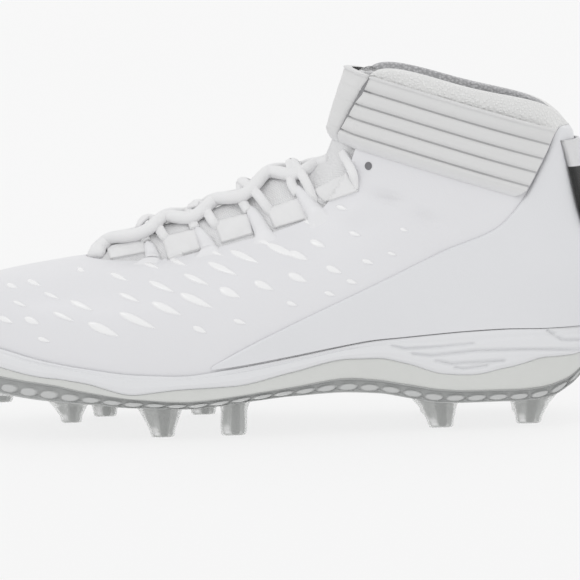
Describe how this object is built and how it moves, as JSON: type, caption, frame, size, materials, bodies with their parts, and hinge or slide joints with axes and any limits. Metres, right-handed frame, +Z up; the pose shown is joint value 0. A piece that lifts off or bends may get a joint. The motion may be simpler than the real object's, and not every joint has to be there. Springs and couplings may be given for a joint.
{
  "type": "american football cleat",
  "caption": "Mid-cut american football cleat with moulded blade studs, white upper, lace loops over a padded tongue and wide bands round the ankle.",
  "frame": {"origin": "centre of the part's box, on the floor that the studs stand on", "axes": "+Z up, toe towards -X, outer side of the foot towards -Y"},
  "size_m": [0.2992, 0.1064, 0.1594],
  "materials": {
    "clear_plate": "clear grey moulded plastic",
    "white_foam": "smooth white moulded foam",
    "liner_fabric": "pale grey sockliner fabric",
    "white_synthetic": "white coated synthetic with raised glossy marks",
    "smooth_synthetic": "smooth white coated synthetic",
    "white_knit": "white padded mesh",
    "strap_band": "smooth stretch band with lengthwise grooves",
    "white_lace": "white woven lace",
    "heel_webbing": "woven webbing"
  },
  "bodies": {
    "root": {"outsole": "clear_plate", "midsole": "white_foam", "insole": "liner_fabric", "upper": "white_synthetic", "heel_panel": "smooth_synthetic", "tongue": "white_knit", "ankle_strap_outer": "strap_band", "ankle_strap_inner": "strap_band", "lace_loop_outer_1": "white_synthetic", "lace_loop_outer_2": "white_synthetic", "lace_loop_outer_3": "white_synthetic", "lace_loop_outer_4": "white_synthetic", "lace_loop_inner_1": "white_synthetic", "lace_loop_inner_2": "white_synthetic", "lace_loop_inner_3": "white_synthetic", "lace_loop_inner_4": "white_synthetic", "lace": "white_lace", "heel_tab": "heel_webbing"}
  },
  "joints": []
}
